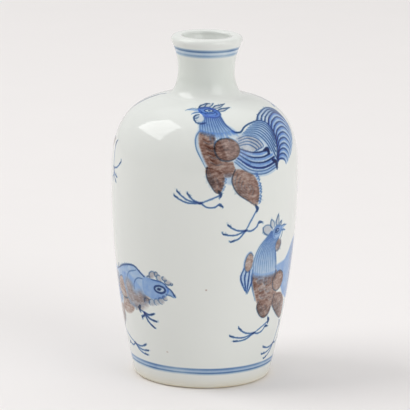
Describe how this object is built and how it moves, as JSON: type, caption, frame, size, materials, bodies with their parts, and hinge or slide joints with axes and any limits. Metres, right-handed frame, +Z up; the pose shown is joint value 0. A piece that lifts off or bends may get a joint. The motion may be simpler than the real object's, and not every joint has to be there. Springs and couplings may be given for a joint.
{
  "type": "snuff bottle",
  "caption": "Small hollow porcelain snuff bottle with a full shoulder, waisted neck, rolled lip and foot ring, painted with roosters in blue and brown under a clear glaze.",
  "frame": {"origin": "centre of the foot, in the plane that the foot ring stands on", "axes": "+Z up along the axis of revolution; +X to the viewer's right with the main painted rooster in front, at -Y"},
  "size_m": [0.0432, 0.0432, 0.08],
  "materials": {
    "porcelain": "white porcelain painted in cobalt blue and copper brown under a glossy clear glaze"
  },
  "bodies": {
    "root": {"bottle": "porcelain"}
  },
  "joints": []
}
